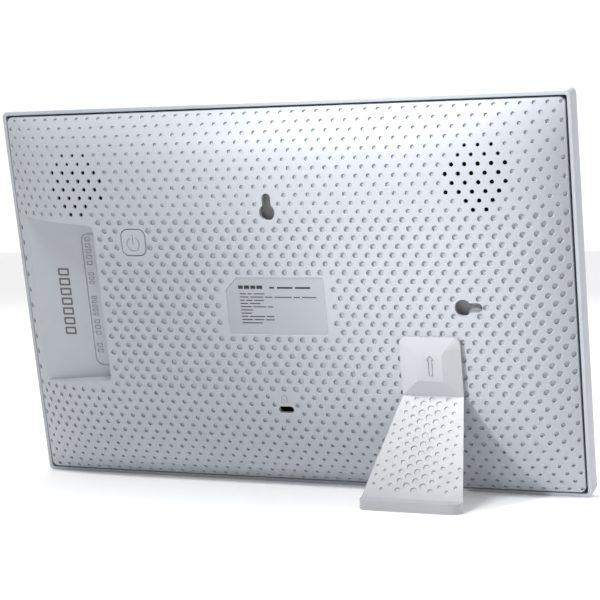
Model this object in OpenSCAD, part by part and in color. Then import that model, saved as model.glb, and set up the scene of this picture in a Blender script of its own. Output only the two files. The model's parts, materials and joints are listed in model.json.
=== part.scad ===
// Ten-inch digital photo frame, standing on its bottom rear edge and a slide-on back stand.
// Every part is drawn upright: +X to the left seen from behind, +Y out of the back, +Z up,
// with y = 0 on the bezel's rear rim and z = 0 at mid height. seat() leans it back and
// sets it on z = 0 with the origin under the middle of its bounding box.

/* [Frame] */
// Width across the bezel
frame_w = 258; // [256:1:262]
// Height of the bezel along its own face
frame_h = 169.4; // [168:0.2:172]
// Depth of the bezel's side walls
bezel_d = 10; // [10:0.1:11]
// Thickness of the bezel's side walls
bezel_wall = 2; // [1.8:0.1:2.2]
// Radius of the bezel's four corners
corner_r = 2.5; // [2:0.1:4]
// Angle that the frame leans back from upright
lean = 12.6; // [12:0.1:13]

/* [Back cover] */
// Height of the domed back above the bezel's rear rim
dome_h = 13.9; // [13.8:0.1:14.2]
// Wall thickness of the back cover
cover_t = 2; // [1.8:0.1:2.2]
// Gap between the cover's edge and the bezel's rim
reveal = 0.3; // [0.2:0.05:0.5]
// Share of the half width that the dome keeps flat
flat_x = 0.68; // [0.66:0.01:0.7]
// Share of the half height that the dome keeps flat
flat_z = 0.58; // [0.56:0.01:0.6]

/* [Port pocket] */
// Distance from the middle of the frame to the port wall
pocket_x = 82.3; // [82:0.1:83]
// Half height of the pocket at the port wall
pocket_z_in = 35.3; // [35:0.1:36]
// Half height of the pocket at its open side
pocket_z_out = 38.2; // [38:0.1:39]
// Height of the pocket's floor above the bezel's rear rim
pocket_floor = 5.5; // [5.4:0.1:5.6]

/* [Display] */
// Width of the cover glass
glass_w = 236; // [234:1:238]
// Height of the cover glass
glass_h = 152; // [152:0.5:153]
// Width of the picture area of a 10.1 inch panel
view_w = 217; // [216:0.1:218]
// Height of the picture area of a 10.1 inch panel
view_h = 135.6; // [135:0.1:136]

/* [Stand] */
// Distance from the middle of the frame to the middle of the stand
stand_x = 68.5; // [67:0.5:70]
// Width of the stand's head
head_w = 26.2; // [26:0.1:27]
// Width across the foot
foot_w = 45.6; // [44:0.2:47]
// Depth of the foot, front to back on the table
foot_d = 9; // [8:0.5:10]
// Height of the foot's rear face
foot_t = 4; // [3.8:0.1:4.2]
// Thickness of the leg
leg_t = 3; // [2.8:0.1:3.2]
// Angle between the leg and the cover
leg_angle = 49.3; // [48.8:0.1:49.8]
// How far the stand slides down to come off
stand_travel = 9.6; // [9.6:0.1:9.9]

/* [Controls] */
// Side of the square power button
button_w = 11.4; // [11:0.1:12]
// Travel of the power button
button_travel = 0.4; // [0.3:0.05:0.5]
// Travel of the reset plunger
reset_travel = 0.25; // [0.2:0.05:0.3]

/* [Hanging and lock] */
// Diameter of a keyhole's round entry
key_d = 7; // [6.8:0.1:7.2]
// Width of a keyhole's slot
key_slot_w = 4; // [3.8:0.1:4.2]
// Distance from the round entry to the end of the slot
key_run = 6; // [5.5:0.1:6.5]
// Length of the security lock slot
lock_w = 7; // [6.8:0.1:7.2]
// Height of the security lock slot
lock_h = 3; // [2.9:0.1:3.1]

/* [Hidden] */
$fn = 48;
eps = 0.01;

// Place of the whole object: the lowest line of the rear rim is planed off by rest_cut
rest_cut = 0.2;
foot_reach = 59.4;
shift_z = frame_h / 2 * cos(lean) - rest_cut;
rim_y = -frame_h / 2 * sin(lean);
front_y = rim_y - bezel_d * cos(lean);
shift_y = -(rim_y + foot_reach + front_y) / 2;

// Depths of the front stack, all in y
glass_t = 1.1;
tape_t = 0.15;
glass_y = -bezel_d;
face_t = 2.4;
cell_y = -bezel_d + face_t + 0.1;
cell_t = 1.1;
films_y = cell_y + cell_t + 0.05;
films_t = 0.6;
guide_y = films_y + films_t + 0.05;
guide_t = 1;
sheet_y = guide_y + guide_t;
sheet_t = 0.15;
tray_y = sheet_y + sheet_t + 0.05;
tray_t = 0.4;
tray_back = tray_y + tray_t;
bracket_t = 0.8;
panel_w = 229.5;
panel_h = 149.1;
sheet_w = 222;
sheet_h = 141;
panel_lip = 0.4;
bracket_x = 120.5;
bracket_z = 58;
flex_x0 = 9.3;
flex_slot_z = -75.9;

// Cover
cover_w = frame_w - 2 * (bezel_wall + reveal);
cover_h = frame_h - 2 * (bezel_wall + reveal);
skirt_d = 4;
skirt_t = 1.6;
inner_y = dome_h - cover_t;
cover_clear = 0.1;
pocket_out = 40;
draft_z = (pocket_z_out - pocket_z_in) / 36;

// Dimple lattice that also carries the speaker holes
lattice_x = 2.693;
lattice_z = 3.667;
lattice_mid = 22;
hole_d = 1.9;
// Rows of holes: [row, how many, shift of the row's middle in half pitches]
grille_rows = [[4, 3, 0], [5, 4, 0], [6, 5, 0], [7, 5, -1], [8, 5, 0], [9, 5, -1], [10, 3, 0], [11, 2, 0]];
grille_mid_right = 34.5;
grille_mid_left = 33.5;
speaker_x = 91.6;
speaker_z = 53.2;
speaker_r = 17;
speaker_ear = 20.5;
speaker_front = 5;
speaker_back = -0.5;
gasket_t = 0.6;
chamber_r = 15.2;

// Places on the back; mid_x is the dimple column that the label, top keyhole and lock follow
mid_x = -1.35;
key_top_z = 40.5;
key_side_x = 83.4;
lock_z = -46;
button_x = 63;
button_z = 27.9;
button_r = 3;
button_gap = 0.15;
label_w = 45.5;
label_h = 25.3;
label_chamfer = 5.5;
label_depth = 0.35;

// Main board
board_x0 = 1.5;
board_x1 = 79.3;
board_z = 34.5;
board_y = 4.4;
board_t = 1.6;
board_top = board_y + board_t;
boss_spots = [[6, 30.5], [6, -30.5], [74.4, 30.5], [74.4, -30.5]];
screw_r = 0.95;
pilot_r = 1;
boss_r = 2.8;

// Ports along the port wall
wall_in = pocket_x - cover_t;
reset_z = 22.2;
usb_z = 9.5;
card_z = -7.3;
dc_z = -22.5;
jack_back = wall_in - 8.3;
socket_back = wall_in - 15.5;
usb_w = 13.1;
usb_h = 5.7;
dc_y = 9;
dc_bore_r = 2.1;
pin_r = 0.8;
pin_l = 8;
reset_y = 8.1;
reset_well = wall_in - 6;
switch_h = 3.5;
switch_well = 1.2;

// Stand, head rim at head_y, crown at head_y + crown_h
head_z1 = -12.2;
head_z0 = -37.2;
head_r = 3;
head_y = 15.2;
head_gap = 0.2;
foot_r = 4.5;
foot_slope = 4;
crown_h = 2.2;
crown_w = 11;
hook_w = 8;
hook_flange_w = 13;
hook_top = -15.25;
hook_h = 8.6;
plate_t = 1.2;
slot_clear = 0.2;
stake_r = 1;
white = [0.9, 0.92, 0.95];
steel = [0.72, 0.73, 0.75];
gold = [0.8, 0.65, 0.3];
chip = [0.12, 0.12, 0.13];
amber = [0.75, 0.5, 0.15];

// Rounded corner of an outline at b, between a and c, as an arc of n steps
function round_corner(a, b, c, r, n = 8) =
    let (
        u = (a - b) / norm(a - b), v = (c - b) / norm(c - b),
        half = acos(u * v) / 2, mid = (u + v) / norm(u + v),
        o = b + mid * r / sin(half),
        s = b + u * r / tan(half) - o, e = b + v * r / tan(half) - o,
        a0 = atan2(s[1], s[0]), turn = atan2(e[1], e[0]) - a0,
        sweep = turn > 180 ? turn - 360 : turn < -180 ? turn + 360 : turn
    ) [for (i = [0:n]) o + r * [cos(a0 + sweep * i / n), sin(a0 + sweep * i / n)]];

// Outline whose corner i has radius radii[i]
function rounded(pts, radii) = [
    for (i = [0:len(pts) - 1])
        let (n = len(pts), a = pts[(i + n - 1) % n], b = pts[i], c = pts[(i + 1) % n])
        each (radii[i] > 0 ? round_corner(a, b, c, radii[i]) : [b])
];

// Band of thickness t along a route in the (z, y) plane
function band(route, t) =
    let (
        n = len(route),
        dirs = [for (i = [0:n - 1])
            let (d = route[min(i + 1, n - 1)] - route[max(i - 1, 0)]) d / norm(d)],
        side = [for (d = dirs) [-d[1], d[0]] * t / 2]
    ) concat([for (i = [0:n - 1]) route[i] + side[i]], [for (i = [n - 1:-1:0]) route[i] - side[i]]);

function unit(v) = v / norm(v);

// Smooth curve through every point of a route, four steps to each stretch
function smooth(route) =
    let (n = len(route), at = function (i) route[max(0, min(n - 1, i))])
    concat([for (i = [0:n - 2], k = [0:3])
        let (t = k / 4, a = at(i - 1), b = at(i), c = at(i + 1), d = at(i + 2))
        (2 * b + (c - a) * t + (2 * a - 5 * b + 4 * c - d) * t * t
            + (3 * b - a - 3 * c + d) * t * t * t) / 2],
    [route[n - 1]]);

// Half of one row of speaker holes on each side: x of every hole in a row
function grille_x(mid, row) = [for (k = [0:row[1] - 1]) (mid + row[2] + 2 * k - row[1] + 1) * lattice_x];
function lattice_row_z(i) = (lattice_mid - i) * lattice_z;

// Leans an upright part back and stands it on z = 0
module seat() {
    translate([0, shift_y, shift_z]) rotate([-lean, 0, 0]) children();
}

// Extrudes an (x, z) outline along +y from y0 to y1
module deep(y0, y1) {
    translate([0, y1, 0]) rotate([90, 0, 0]) linear_extrude(y1 - y0) children();
}

// Extrudes a (z, y) outline along x from x0 to x1
module wide(x0, x1) {
    translate([x0, 0, 0]) rotate([0, 90, 0]) linear_extrude(x1 - x0) mirror([1, 0]) children();
}

// Box from its lowest to its highest corner
module block(lo, hi) {
    translate(lo) cube(hi - lo);
}

module rod(x, z, y0, y1, r) {
    translate([x, y0, z]) rotate([-90, 0, 0]) cylinder(h = y1 - y0, r = r);
}

module rounded_rect(w, h, r) {
    union() {
        square([w - 2 * r, h], center = true);
        square([w, h - 2 * r], center = true);
        for (sx = [-1, 1], sz = [-1, 1]) translate([sx * (w / 2 - r), sz * (h / 2 - r)]) circle(r);
    }
}

module plate(w, h, r, y0, y1) {
    deep(y0, y1) rounded_rect(w, h, r);
}

// Straight slot with round ends, centred, along x
module slot_shape(w, h) {
    square([w - h, h], center = true);
    for (s = [-1, 1]) translate([s * (w - h) / 2, 0]) circle(h / 2);
}

// Keyhole seen from behind: round entry at the origin, slot running up
module keyhole_shape(grow = 0) {
    circle(key_d / 2 + grow);
    translate([-key_slot_w / 2 - grow, 0]) square([key_slot_w + 2 * grow, key_run]);
    translate([0, key_run]) circle(key_slot_w / 2 + grow);
}

// Pan head screw with a cross recess, pointing +y with the head below y = 0
module screw(length, r = screw_r, head_r = 1.9, head_h = 1.1) {
    recess = 0.45;
    difference() {
        union() {
            rod(0, 0, -head_h, 0, head_r);
            rod(0, 0, -eps, length, r);
        }
        for (a = [0, 90]) rotate([0, a, 0]) translate([-head_r * 0.6, -head_h - eps, -recess / 2])
            cube([head_r * 1.2, head_h * 0.6, recess]);
    }
}

// Insulated wire: a smooth tube of 8 sides along a route
module wire(route, d) {
    path = smooth(route);
    n = len(path);
    sides = 8;
    ring = [for (i = [0:n - 1])
        let (
            run = path[min(i + 1, n - 1)] - path[max(i - 1, 0)],
            a = unit(cross(run, [0.4, 0.2, 1])), b = cross(unit(run), a)
        ) each [for (k = [0:sides - 1])
            path[i] + d / 2 * (cos(360 * k / sides) * a + sin(360 * k / sides) * b)]];
    walls = [for (i = [0:n - 2], k = [0:sides - 1])
        let (p = i * sides + k, q = i * sides + (k + 1) % sides)
        each [[p, q, q + sides], [p, q + sides, p + sides]]];
    polyhedron(ring, concat(walls,
        [[for (k = [sides - 1:-1:0]) k]], [[for (k = [0:sides - 1]) (n - 1) * sides + k]]));
}

// Side view of the dome: flat in the middle, an arc down to the edge on each side
module dome_side(half, flat, inset) {
    drop = half - flat;
    arc_r = (drop * drop + dome_h * dome_h) / (2 * dome_h);
    intersection() {
        translate([-half, 0]) square([2 * half, dome_h]);
        union() {
            translate([-flat, 0]) square([2 * flat, dome_h - inset]);
            for (s = [-1, 1]) translate([s * flat, dome_h - arc_r]) circle(arc_r - inset, $fn = 96);
        }
    }
}

module dome(inset) {
    intersection() {
        linear_extrude(cover_h, center = true) dome_side(cover_w / 2, cover_w / 2 * flat_x, inset);
        rotate([0, 90, 0]) linear_extrude(cover_w, center = true)
            dome_side(cover_h / 2, cover_h / 2 * flat_z, inset);
        plate(cover_w, cover_h, corner_r, -eps, dome_h + eps);
    }
}

module pocket_outline(grow) {
    x0 = pocket_x - grow;
    x1 = pocket_x + pocket_out;
    polygon(rounded([
        [x0, -pocket_z_in - grow], [x1, -pocket_z_in - draft_z * pocket_out - grow],
        [x1, pocket_z_in + draft_z * pocket_out + grow], [x0, pocket_z_in + grow]
    ], [2.5, 0, 0, 2.5]));
}

module label_shape(inset) {
    w = label_w / 2 - inset;
    h = label_h / 2 - inset;
    c = label_chamfer;
    polygon(rounded([[-w, -h], [w, -h], [w, h - c], [w - c, h], [-w, h]], [1.5, 1.5, 1, 1, 1.5]));
}

// T-shaped opening for the stand's hook: wide window below, narrow slot above
module hook_window() {
    lips = hook_top - stand_travel + 0.25;
    sill = hook_top - hook_h - stand_travel - 1.15;
    w = hook_flange_w + 2 * slot_clear + 0.2;
    translate([-w / 2, sill]) square([w, lips - sill]);
    translate([-hook_w / 2 - slot_clear, lips - eps])
        square([hook_w + 2 * slot_clear, hook_top + 0.05 - lips + eps]);
}

// --- Front ---

module clip_spots() {
    for (s = [-1, 1]) {
        for (x = [-90, -32, 32, 90]) translate([x, 0, s * cover_h / 2]) children();
        for (z = [-40, 40]) translate([s * cover_w / 2, 0, z]) rotate([0, 90, 0]) children();
    }
}

module front_bezel() color(white) difference() {
    seat() difference() {
        union() {
            difference() {
                plate(frame_w, frame_h, corner_r, -bezel_d, 0);
                plate(frame_w - 2 * bezel_wall, frame_h - 2 * bezel_wall, 1, face_t - bezel_d, 1);
                plate(glass_w + 0.4, glass_h + 0.4, 2.2, -bezel_d - 1, glass_y + glass_t + tape_t);
                plate(view_w + 3, view_h + 3, 1, -bezel_d - 1, 0);
                block([flex_x0 - 2, -bezel_d, flex_slot_z], [flex_x0 + 7, 0, flex_slot_z + 1]);
            }
            for (sx = [-1, 1], sz = [-1, 1])
                rod(sx * bracket_x, sz * bracket_z, face_t - bezel_d - eps, tray_back, boss_r);
        }
        for (sx = [-1, 1], sz = [-1, 1])
            rod(sx * bracket_x, sz * bracket_z, face_t - bezel_d + 0.2, tray_back + 1, pilot_r);
        clip_spots() block([-7, -3.6, -1], [7, -2.3, 1.1]);
    }
    block([-frame_w, -frame_w, -20], [frame_w, frame_w, 0]);
}

module touch_glass() color([0.05, 0.05, 0.06]) seat()
    plate(glass_w, glass_h, 2, glass_y, glass_y + glass_t);

module glass_tape() color(chip) seat() difference() {
    plate(glass_w - 1, glass_h - 1, 1.5, glass_y + glass_t, glass_y + glass_t + tape_t);
    plate(view_w + 3.4, view_h + 3.4, 1, glass_y, 0);
    block([flex_x0 - 2.5, -bezel_d, flex_slot_z], [flex_x0 + 7.5, 0, flex_slot_z + 1.2]);
}

// Flexible circuit of the touch sensor, through the slot in the bezel and up to the board
module touch_flex() color(amber) seat() wide(flex_x0, flex_x0 + 6) polygon(band([
    [-75.4, glass_y + glass_t], [-75.4, -6], [-75.4, tray_back], [-74.5, tray_back + 0.9],
    [-72, tray_back + 0.9], [-46, tray_back + 0.9], [-36, 3], [-33.1, 3.7]], 0.2));

module lcd_cell() color([0.1, 0.1, 0.12]) seat()
    block([-112.5, cell_y, -71.8], [112.5, cell_y + cell_t, 71.8]);

module sheet_stack(y0, t) {
    block([-sheet_w / 2, y0, -sheet_h / 2], [sheet_w / 2, y0 + t, sheet_h / 2]);
}

module optical_films() color("white") seat() sheet_stack(films_y, films_t);

module light_guide() color([0.85, 0.9, 0.95]) seat() sheet_stack(guide_y, guide_t);

module reflector_sheet() color("white") seat() sheet_stack(sheet_y, sheet_t);

module led_strip() color([0.95, 0.9, 0.6]) seat() {
    block([-105, guide_y, -72.6], [105, guide_y + 0.3, -71.4]);
    for (i = [0:23]) translate([-103.5 + 9 * i, guide_y + 0.3 - eps, -72.2]) cube([3, 0.7, 0.8]);
}

module panel_frame() color([0.95, 0.95, 0.93]) seat() difference() {
    block([-panel_w / 2 + 0.5, films_y, -panel_h / 2 + 0.5],
        [panel_w / 2 - 0.5, sheet_y, panel_h / 2 - 0.5]);
    block([-sheet_w / 2 - 0.3, -9, -72.8], [sheet_w / 2 + 0.3, 0, sheet_h / 2 + 0.3]);
}

module backlight_tray() color(steel) seat() difference() {
    block([-panel_w / 2, cell_y, -panel_h / 2], [panel_w / 2, tray_back, panel_h / 2]);
    block([-panel_w / 2 + panel_lip, -9, -panel_h / 2 + panel_lip],
        [panel_w / 2 - panel_lip, tray_y, panel_h / 2 - panel_lip]);
}

module panel_bracket(s) color(steel) seat() difference() {
    block([min(s * 111, s * 123.5), tray_back, -66], [max(s * 111, s * 123.5), tray_back + bracket_t, 66]);
    for (sz = [-1, 1]) rod(s * bracket_x, sz * bracket_z, -9, 0, 1.2);
    for (z = [-30, 0, 30]) rod(s * 117, z, -9, 0, 2.5);
}

module panel_bracket_left() panel_bracket(-1);

module panel_bracket_right() panel_bracket(1);

module panel_screws() color(steel) seat() for (sx = [-1, 1], sz = [-1, 1])
    translate([sx * bracket_x, tray_back + bracket_t, sz * bracket_z]) rotate([180, 0, 0]) screw(3.4);

module panel_ribbon(x0, x1) {
    wide(x0, x1) polygon(band([
        [-74.85, films_y], [-74.85, tray_back - 0.2], [-74.4, tray_back + 0.3], [-73, tray_back + 0.3],
        [-46, tray_back + 0.3], [-36, 3], [-33.1, 3.7]], 0.2));
}

module display_flex() color(amber) seat() panel_ribbon(18, 38);

module backlight_flex() color(amber) seat() panel_ribbon(49, 55);

// --- Back cover ---

module speaker_seats_solid() {
    for (s = [-1, 1]) {
        rod(s * speaker_x, speaker_z, 1.2, dome_h, speaker_r + 1.6);
        for (e = [-1, 1]) rod(s * speaker_x + e * speaker_ear, speaker_z, 1.2, dome_h, 2.3);
    }
}

module speaker_seats_void() {
    for (s = [-1, 1]) {
        rod(s * speaker_x, speaker_z, 0, speaker_front + gasket_t, speaker_r + 0.3);
        for (e = [-1, 1]) rod(s * speaker_x + e * speaker_ear, speaker_z, 0, 5, pilot_r);
    }
    for (row = grille_rows) {
        for (x = grille_x(grille_mid_right, row)) rod(-x, lattice_row_z(row[0]), 0, 20, hole_d / 2);
        for (x = grille_x(grille_mid_left, row)) rod(x, lattice_row_z(row[0]), 0, 20, hole_d / 2);
    }
}

module speaker_chambers() {
    for (s = [-1, 1]) intersection() {
        rod(s * speaker_x, speaker_z, 0, 20, chamber_r);
        dome(cover_t);
    }
}

// Plastic pins that are melted over to hold a plate against the inside of the cover
module stakes(spots) {
    for (p = spots) {
        rod(p[0], p[1], inner_y - plate_t - eps, inner_y + eps, stake_r);
        rod(p[0], p[1], inner_y - plate_t - 0.6, inner_y - plate_t, stake_r + 0.7);
    }
}

stand_stakes = [for (sx = [-1, 1], z = [-13.4, -35.4]) [-stand_x + sx * 12, z]];
lock_stakes = [for (sx = [-1, 1]) [mid_x + sx * 8, lock_z]];

module port_holes() {
    block([wall_in - 1, board_top - 0.1, usb_z - usb_w / 2 - 0.3],
        [pocket_x + 1, board_top + usb_h + 0.25, usb_z + usb_w / 2 + 0.3]);
    block([wall_in - 1, board_top + 0.3, card_z - 6.2], [pocket_x + 1, board_top + 2.1, card_z + 6.2]);
    translate([wall_in - 1, dc_y, dc_z]) rotate([0, 90, 0]) cylinder(h = 4, r = 3.1);
    translate([wall_in - 1, reset_y, reset_z]) rotate([0, 90, 0]) cylinder(h = 4, r = 0.9);
}

module back_cover() color(white) seat() difference() {
    union() {
        difference() {
            union() {
                dome(0);
                plate(cover_w, cover_h, corner_r, -skirt_d, 0);
            }
            difference() {
                union() {
                    dome(cover_t);
                    plate(cover_w - 2 * skirt_t, cover_h - 2 * skirt_t, 1.2, -skirt_d - 1, 0.5);
                }
                deep(pocket_floor - cover_t, 30) pocket_outline(cover_t);
                speaker_seats_solid();
                for (p = boss_spots) rod(p[0], p[1], board_top, 30, boss_r);
            }
        }
        stakes(stand_stakes);
        stakes(lock_stakes);
        clip_spots() block([-6, -3.3, -0.5], [6, -2.5, 0.9]);
    }
    deep(pocket_floor, 30) pocket_outline(0);
    port_holes();
    speaker_chambers();
    speaker_seats_void();
    for (p = boss_spots) rod(p[0], p[1], board_top - 1, board_top + 5, pilot_r);
    translate([mid_x, 0, key_top_z]) deep(0, 30) keyhole_shape();
    translate([-key_side_x, 0, 0]) deep(0, 30) rotate(90) keyhole_shape();
    translate([mid_x, 0, lock_z]) deep(0, 30) slot_shape(lock_w, lock_h);
    translate([button_x, 0, button_z]) deep(inner_y - 1, 30)
        rounded_rect(button_w + 2 * button_gap, button_w + 2 * button_gap, button_r + button_gap);
    translate([mid_x, 0, 0]) deep(dome_h - label_depth, 30) label_shape(0);
    translate([-stand_x, 0, 0]) deep(0, 30) hook_window();
}

// Blind cup behind a keyhole, for the head of the wall screw
module keyhole_cup() {
    wall = 1;
    outer_r = key_d / 2 + 2.5;
    difference() {
        deep(7.6, inner_y - 0.25) cup_outline(outer_r);
        deep(8.6, 20) cup_outline(outer_r - wall);
    }
}

module cup_outline(r) {
    circle(r);
    translate([-r, 0]) square([2 * r, key_run]);
    translate([0, key_run]) circle(r);
}

// Keeps a piece clear of the curving inside of the cover
module inside_cover() {
    intersection() {
        children();
        dome(cover_t + cover_clear);
    }
}

module keyhole_cup_top() color([0.85, 0.86, 0.88]) seat() inside_cover()
    translate([mid_x, 0, key_top_z]) keyhole_cup();

module keyhole_cup_side() color([0.85, 0.86, 0.88]) seat() inside_cover()
    translate([-key_side_x, 0, 0]) rotate([0, -90, 0]) keyhole_cup();

module staked_plate(w, h, x, z, spots) {
    difference() {
        translate([x, 0, z]) plate(w, h, 2, inner_y - plate_t, inner_y - 0.02);
        for (p = spots) rod(p[0], p[1], 0, 20, stake_r + 0.05);
        children();
    }
}

module lock_plate() color(steel) seat() inside_cover()
    staked_plate(22, 8, mid_x, lock_z, lock_stakes)
        translate([mid_x, 0, lock_z]) deep(0, 20) slot_shape(lock_w, lock_h);

module stand_plate() color(steel) seat() staked_plate(29, 27, -stand_x, -24.4, stand_stakes)
    translate([-stand_x, 0, 0]) deep(0, 20) hook_window();

module rating_label() color([0.85, 0.87, 0.9]) seat() translate([mid_x, 0, 0])
    deep(dome_h - label_depth, dome_h - label_depth + 0.15) label_shape(0.3);

// --- Electronics ---

module main_board() color([0.05, 0.3, 0.15]) seat() difference() {
    translate([(board_x0 + board_x1) / 2, 0, 0])
        plate(board_x1 - board_x0, 2 * board_z, 1.5, board_y, board_top);
    for (p = boss_spots) rod(p[0], p[1], 0, 10, 1.15);
}

module board_screws() color(steel) seat()
    for (p = boss_spots) translate([p[0], board_y, p[1]]) screw(6);

module chip_at(x, z, w, h, t) {
    translate([x, 0, z]) plate(w, h, 0.2, board_top, board_top + t);
}

module processor() color(chip) seat() chip_at(36, 0, 15, 15, 1.2);

module thermal_pad() color([0.6, 0.65, 0.75]) seat()
    translate([36, 0, 0]) plate(14, 14, 0.2, board_top + 1.2, board_top + 1.7);

module heat_sink() color([0.3, 0.3, 0.32]) seat() {
    translate([36, 0, 0]) plate(20, 20, 0.5, board_top + 1.7, board_top + 2.7);
    for (i = [0:6]) block([26.4 + 3 * i, board_top + 2.7 - eps, -10], [27.2 + 3 * i, board_top + 5.2, 10]);
}

module memory_chips() color(chip) seat() for (s = [-1, 1]) chip_at(36, s * 20, 13, 8, 1.1);

module storage_chip() color(chip) seat() chip_at(17, -18, 11.5, 13, 1);

module power_coils() color([0.25, 0.25, 0.27]) seat() for (x = [50, 60]) chip_at(x, -28.4, 7, 7, 3);

module capacitors() color([0.75, 0.76, 0.78]) seat() for (p = [[52, -15], [60, -15], [50, 14]]) {
    chip_at(p[0], p[1], 6.6, 6.6, 0.8);
    rod(p[0], p[1], board_top, board_top + 5.2, 3.1);
}

// Two speaker headers behind the board, three flex connectors in front of it
module board_connectors() color([0.9, 0.88, 0.8]) seat() {
    for (x = [14, 48]) chip_at(x, 31.5, 7, 4, 3.5);
    for (e = [[flex_x0 - 0.9, flex_x0 + 6.9], [17, 39], [48, 56]])
        block([e[0], board_y - 1.2, -33], [e[1], board_y, -28.5]);
}

module wifi_module() color(steel) seat() chip_at(12, 17, 12, 12, 2);

module wifi_antenna() color([0.1, 0.1, 0.1]) seat()
    block([-55, inner_y - 0.2, 18], [-20, inner_y - 0.02, 26]);

module antenna_cable() color([0.2, 0.2, 0.22]) seat() wire([
    [-24, inner_y - 0.8, 22], [-15, 10.6, 23], [-6, 10, 21.5], [4, 9.4, 20.5], [8.5, 9.2, 20.5],
    [9.5, 8.6, 20.5]], 1.1);

// --- Ports ---

module usb_shell() color(steel) seat() difference() {
    block([socket_back, board_top + 0.02, usb_z - usb_w / 2],
        [pocket_x - 0.5, board_top + usb_h, usb_z + usb_w / 2]);
    block([socket_back + 0.4, board_top + 0.4, usb_z - usb_w / 2 + 0.35],
        [90, board_top + usb_h - 0.35, usb_z + usb_w / 2 - 0.35]);
}

module usb_tongue() color("white") seat() {
    block([socket_back + 0.5, board_top + 0.5, usb_z - 6.1],
        [socket_back + 3, board_top + usb_h - 0.45, usb_z + 6.1]);
    block([socket_back + 3 - eps, board_top + 3.1, usb_z - 5.6],
        [pocket_x - 1.5, board_top + 4.9, usb_z + 5.6]);
}

module card_socket() color(steel) seat() difference() {
    block([socket_back, board_top + 0.02, card_z - 7.2],
        [wall_in - 0.4, board_top + 1.9, card_z + 7.2]);
    block([socket_back + 1, board_top + 0.5, card_z - 5.7], [90, board_top + 1.5, card_z + 5.7]);
}

module dc_jack_body() color(chip) seat() difference() {
    union() {
        block([jack_back - 3.2, board_top + 0.02, dc_z - 3.6],
            [wall_in - 0.3, board_top + 5.8, dc_z + 3.6]);
        translate([wall_in - 0.4, dc_y, dc_z]) rotate([0, 90, 0]) cylinder(h = 2.1, r = 2.95);
    }
    translate([jack_back, dc_y, dc_z]) rotate([0, 90, 0]) cylinder(h = 20, r = dc_bore_r);
}

module dc_jack_pin() color(steel) seat() translate([jack_back + eps, dc_y, dc_z]) rotate([0, 90, 0]) {
    cylinder(h = pin_l, r = pin_r);
    translate([0, 0, pin_l]) sphere(pin_r);
}

module reset_switch() color(steel) seat() difference() {
    block([wall_in - 8.5, board_top + 0.02, reset_z - 3],
        [wall_in - 4, board_top + 3.6, reset_z + 3]);
    translate([reset_well, reset_y, reset_z]) rotate([0, 90, 0]) cylinder(h = 5, r = 0.95);
}

module reset_plunger() color(chip) seat()
    translate([reset_well + reset_travel + 0.25, reset_y, reset_z]) rotate([0, 90, 0])
        cylinder(h = 4.2, r = 0.85);

module power_switch() color(steel) seat() difference() {
    chip_at(button_x, button_z, 6.2, 6.2, switch_h);
    rod(button_x, button_z, board_top + switch_h - switch_well, 20, 1.85);
}

module power_plunger() color(chip) seat()
    rod(button_x, button_z, board_top + switch_h - switch_well + button_travel + 0.1, inner_y - 1.6, 1.7);

module power_button() color(white) seat() translate([button_x, 0, button_z]) {
    plate(button_w, button_w, button_r, inner_y - 1, dome_h - 0.05);
    plate(button_w + 2.4, button_w + 2.4, button_r + 1, inner_y - 1.2, inner_y - 0.02);
    rod(0, 0, inner_y - 1.6, inner_y - 1, 2.2);
}

// --- Speakers ---

module speaker(s) color([0.15, 0.15, 0.16]) seat() translate([s * speaker_x, 0, speaker_z]) difference() {
    union() {
        rod(0, 0, speaker_back, speaker_front, speaker_r);
        rod(0, 0, speaker_back - 2.4, speaker_back + eps, 10);
        block([-speaker_ear - 2, 0.1, -2.2], [speaker_ear + 2, 1.1, 2.2]);
        block([-4, speaker_back - 1, -speaker_r - 1.2], [4, speaker_back, -speaker_r + 6]);
    }
    rod(0, 0, 1.2, speaker_front + 1, speaker_r - 1.2);
    for (e = [-1, 1]) rod(e * speaker_ear, 0, -1, 3, 1.15);
}

module speaker_left() speaker(-1);

module speaker_right() speaker(1);

// Paper cone with a roll surround and a dust cap, turned about the speaker's axis
module cone(s) color([0.08, 0.08, 0.09]) seat() translate([s * speaker_x, 0, speaker_z])
    rotate([-90, 0, 0]) rotate_extrude() {
        polygon([[0, 1.3], [5, 1.3], [6, 1.6], [12.4, 3.7], [15.7, 3.7], [15.7, 4.1], [12.2, 4.1],
            [5.6, 2], [4.6, 2.6], [2.6, 3.1], [0, 3.3]]);
        translate([13.9, 3.9]) circle(0.75);
    }

module cone_left() cone(-1);

module cone_right() cone(1);

module speaker_gasket(s) color([0.2, 0.2, 0.2]) seat() difference() {
    rod(s * speaker_x, speaker_z, speaker_front, speaker_front + gasket_t - 0.02, speaker_r);
    rod(s * speaker_x, speaker_z, 0, 10, chamber_r);
}

module speaker_gasket_left() speaker_gasket(-1);

module speaker_gasket_right() speaker_gasket(1);

module speaker_screws() color(steel) seat() for (s = [-1, 1], e = [-1, 1])
    translate([s * speaker_x + e * speaker_ear, 0.1, speaker_z]) screw(4.5);

module speaker_cable_left() color([0.6, 0.1, 0.1]) seat() wire([
    [-speaker_x, -0.8, speaker_z - speaker_r - 1.9], [-88, 0, 32], [-60, 1, 37], [-20, 1.5, 37],
    [10, 3, 38.5], [14, 6, 38], [14, 8, 34.2]], 1.4);

module speaker_cable_right() color([0.6, 0.1, 0.1]) seat() wire([
    [speaker_x, -0.8, speaker_z - speaker_r - 1.9], [86, 0, 33.4], [74, 0.5, 39], [56, 2, 40],
    [49, 5, 39.5], [48, 8, 34.2]], 1.4);

// --- Stand ---

module head_outline() {
    w = head_w / 2;
    polygon(rounded([[-w, head_z0], [w, head_z0], [w, head_z1], [-w, head_z1]], [0, 0, head_r, head_r]));
}

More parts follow.
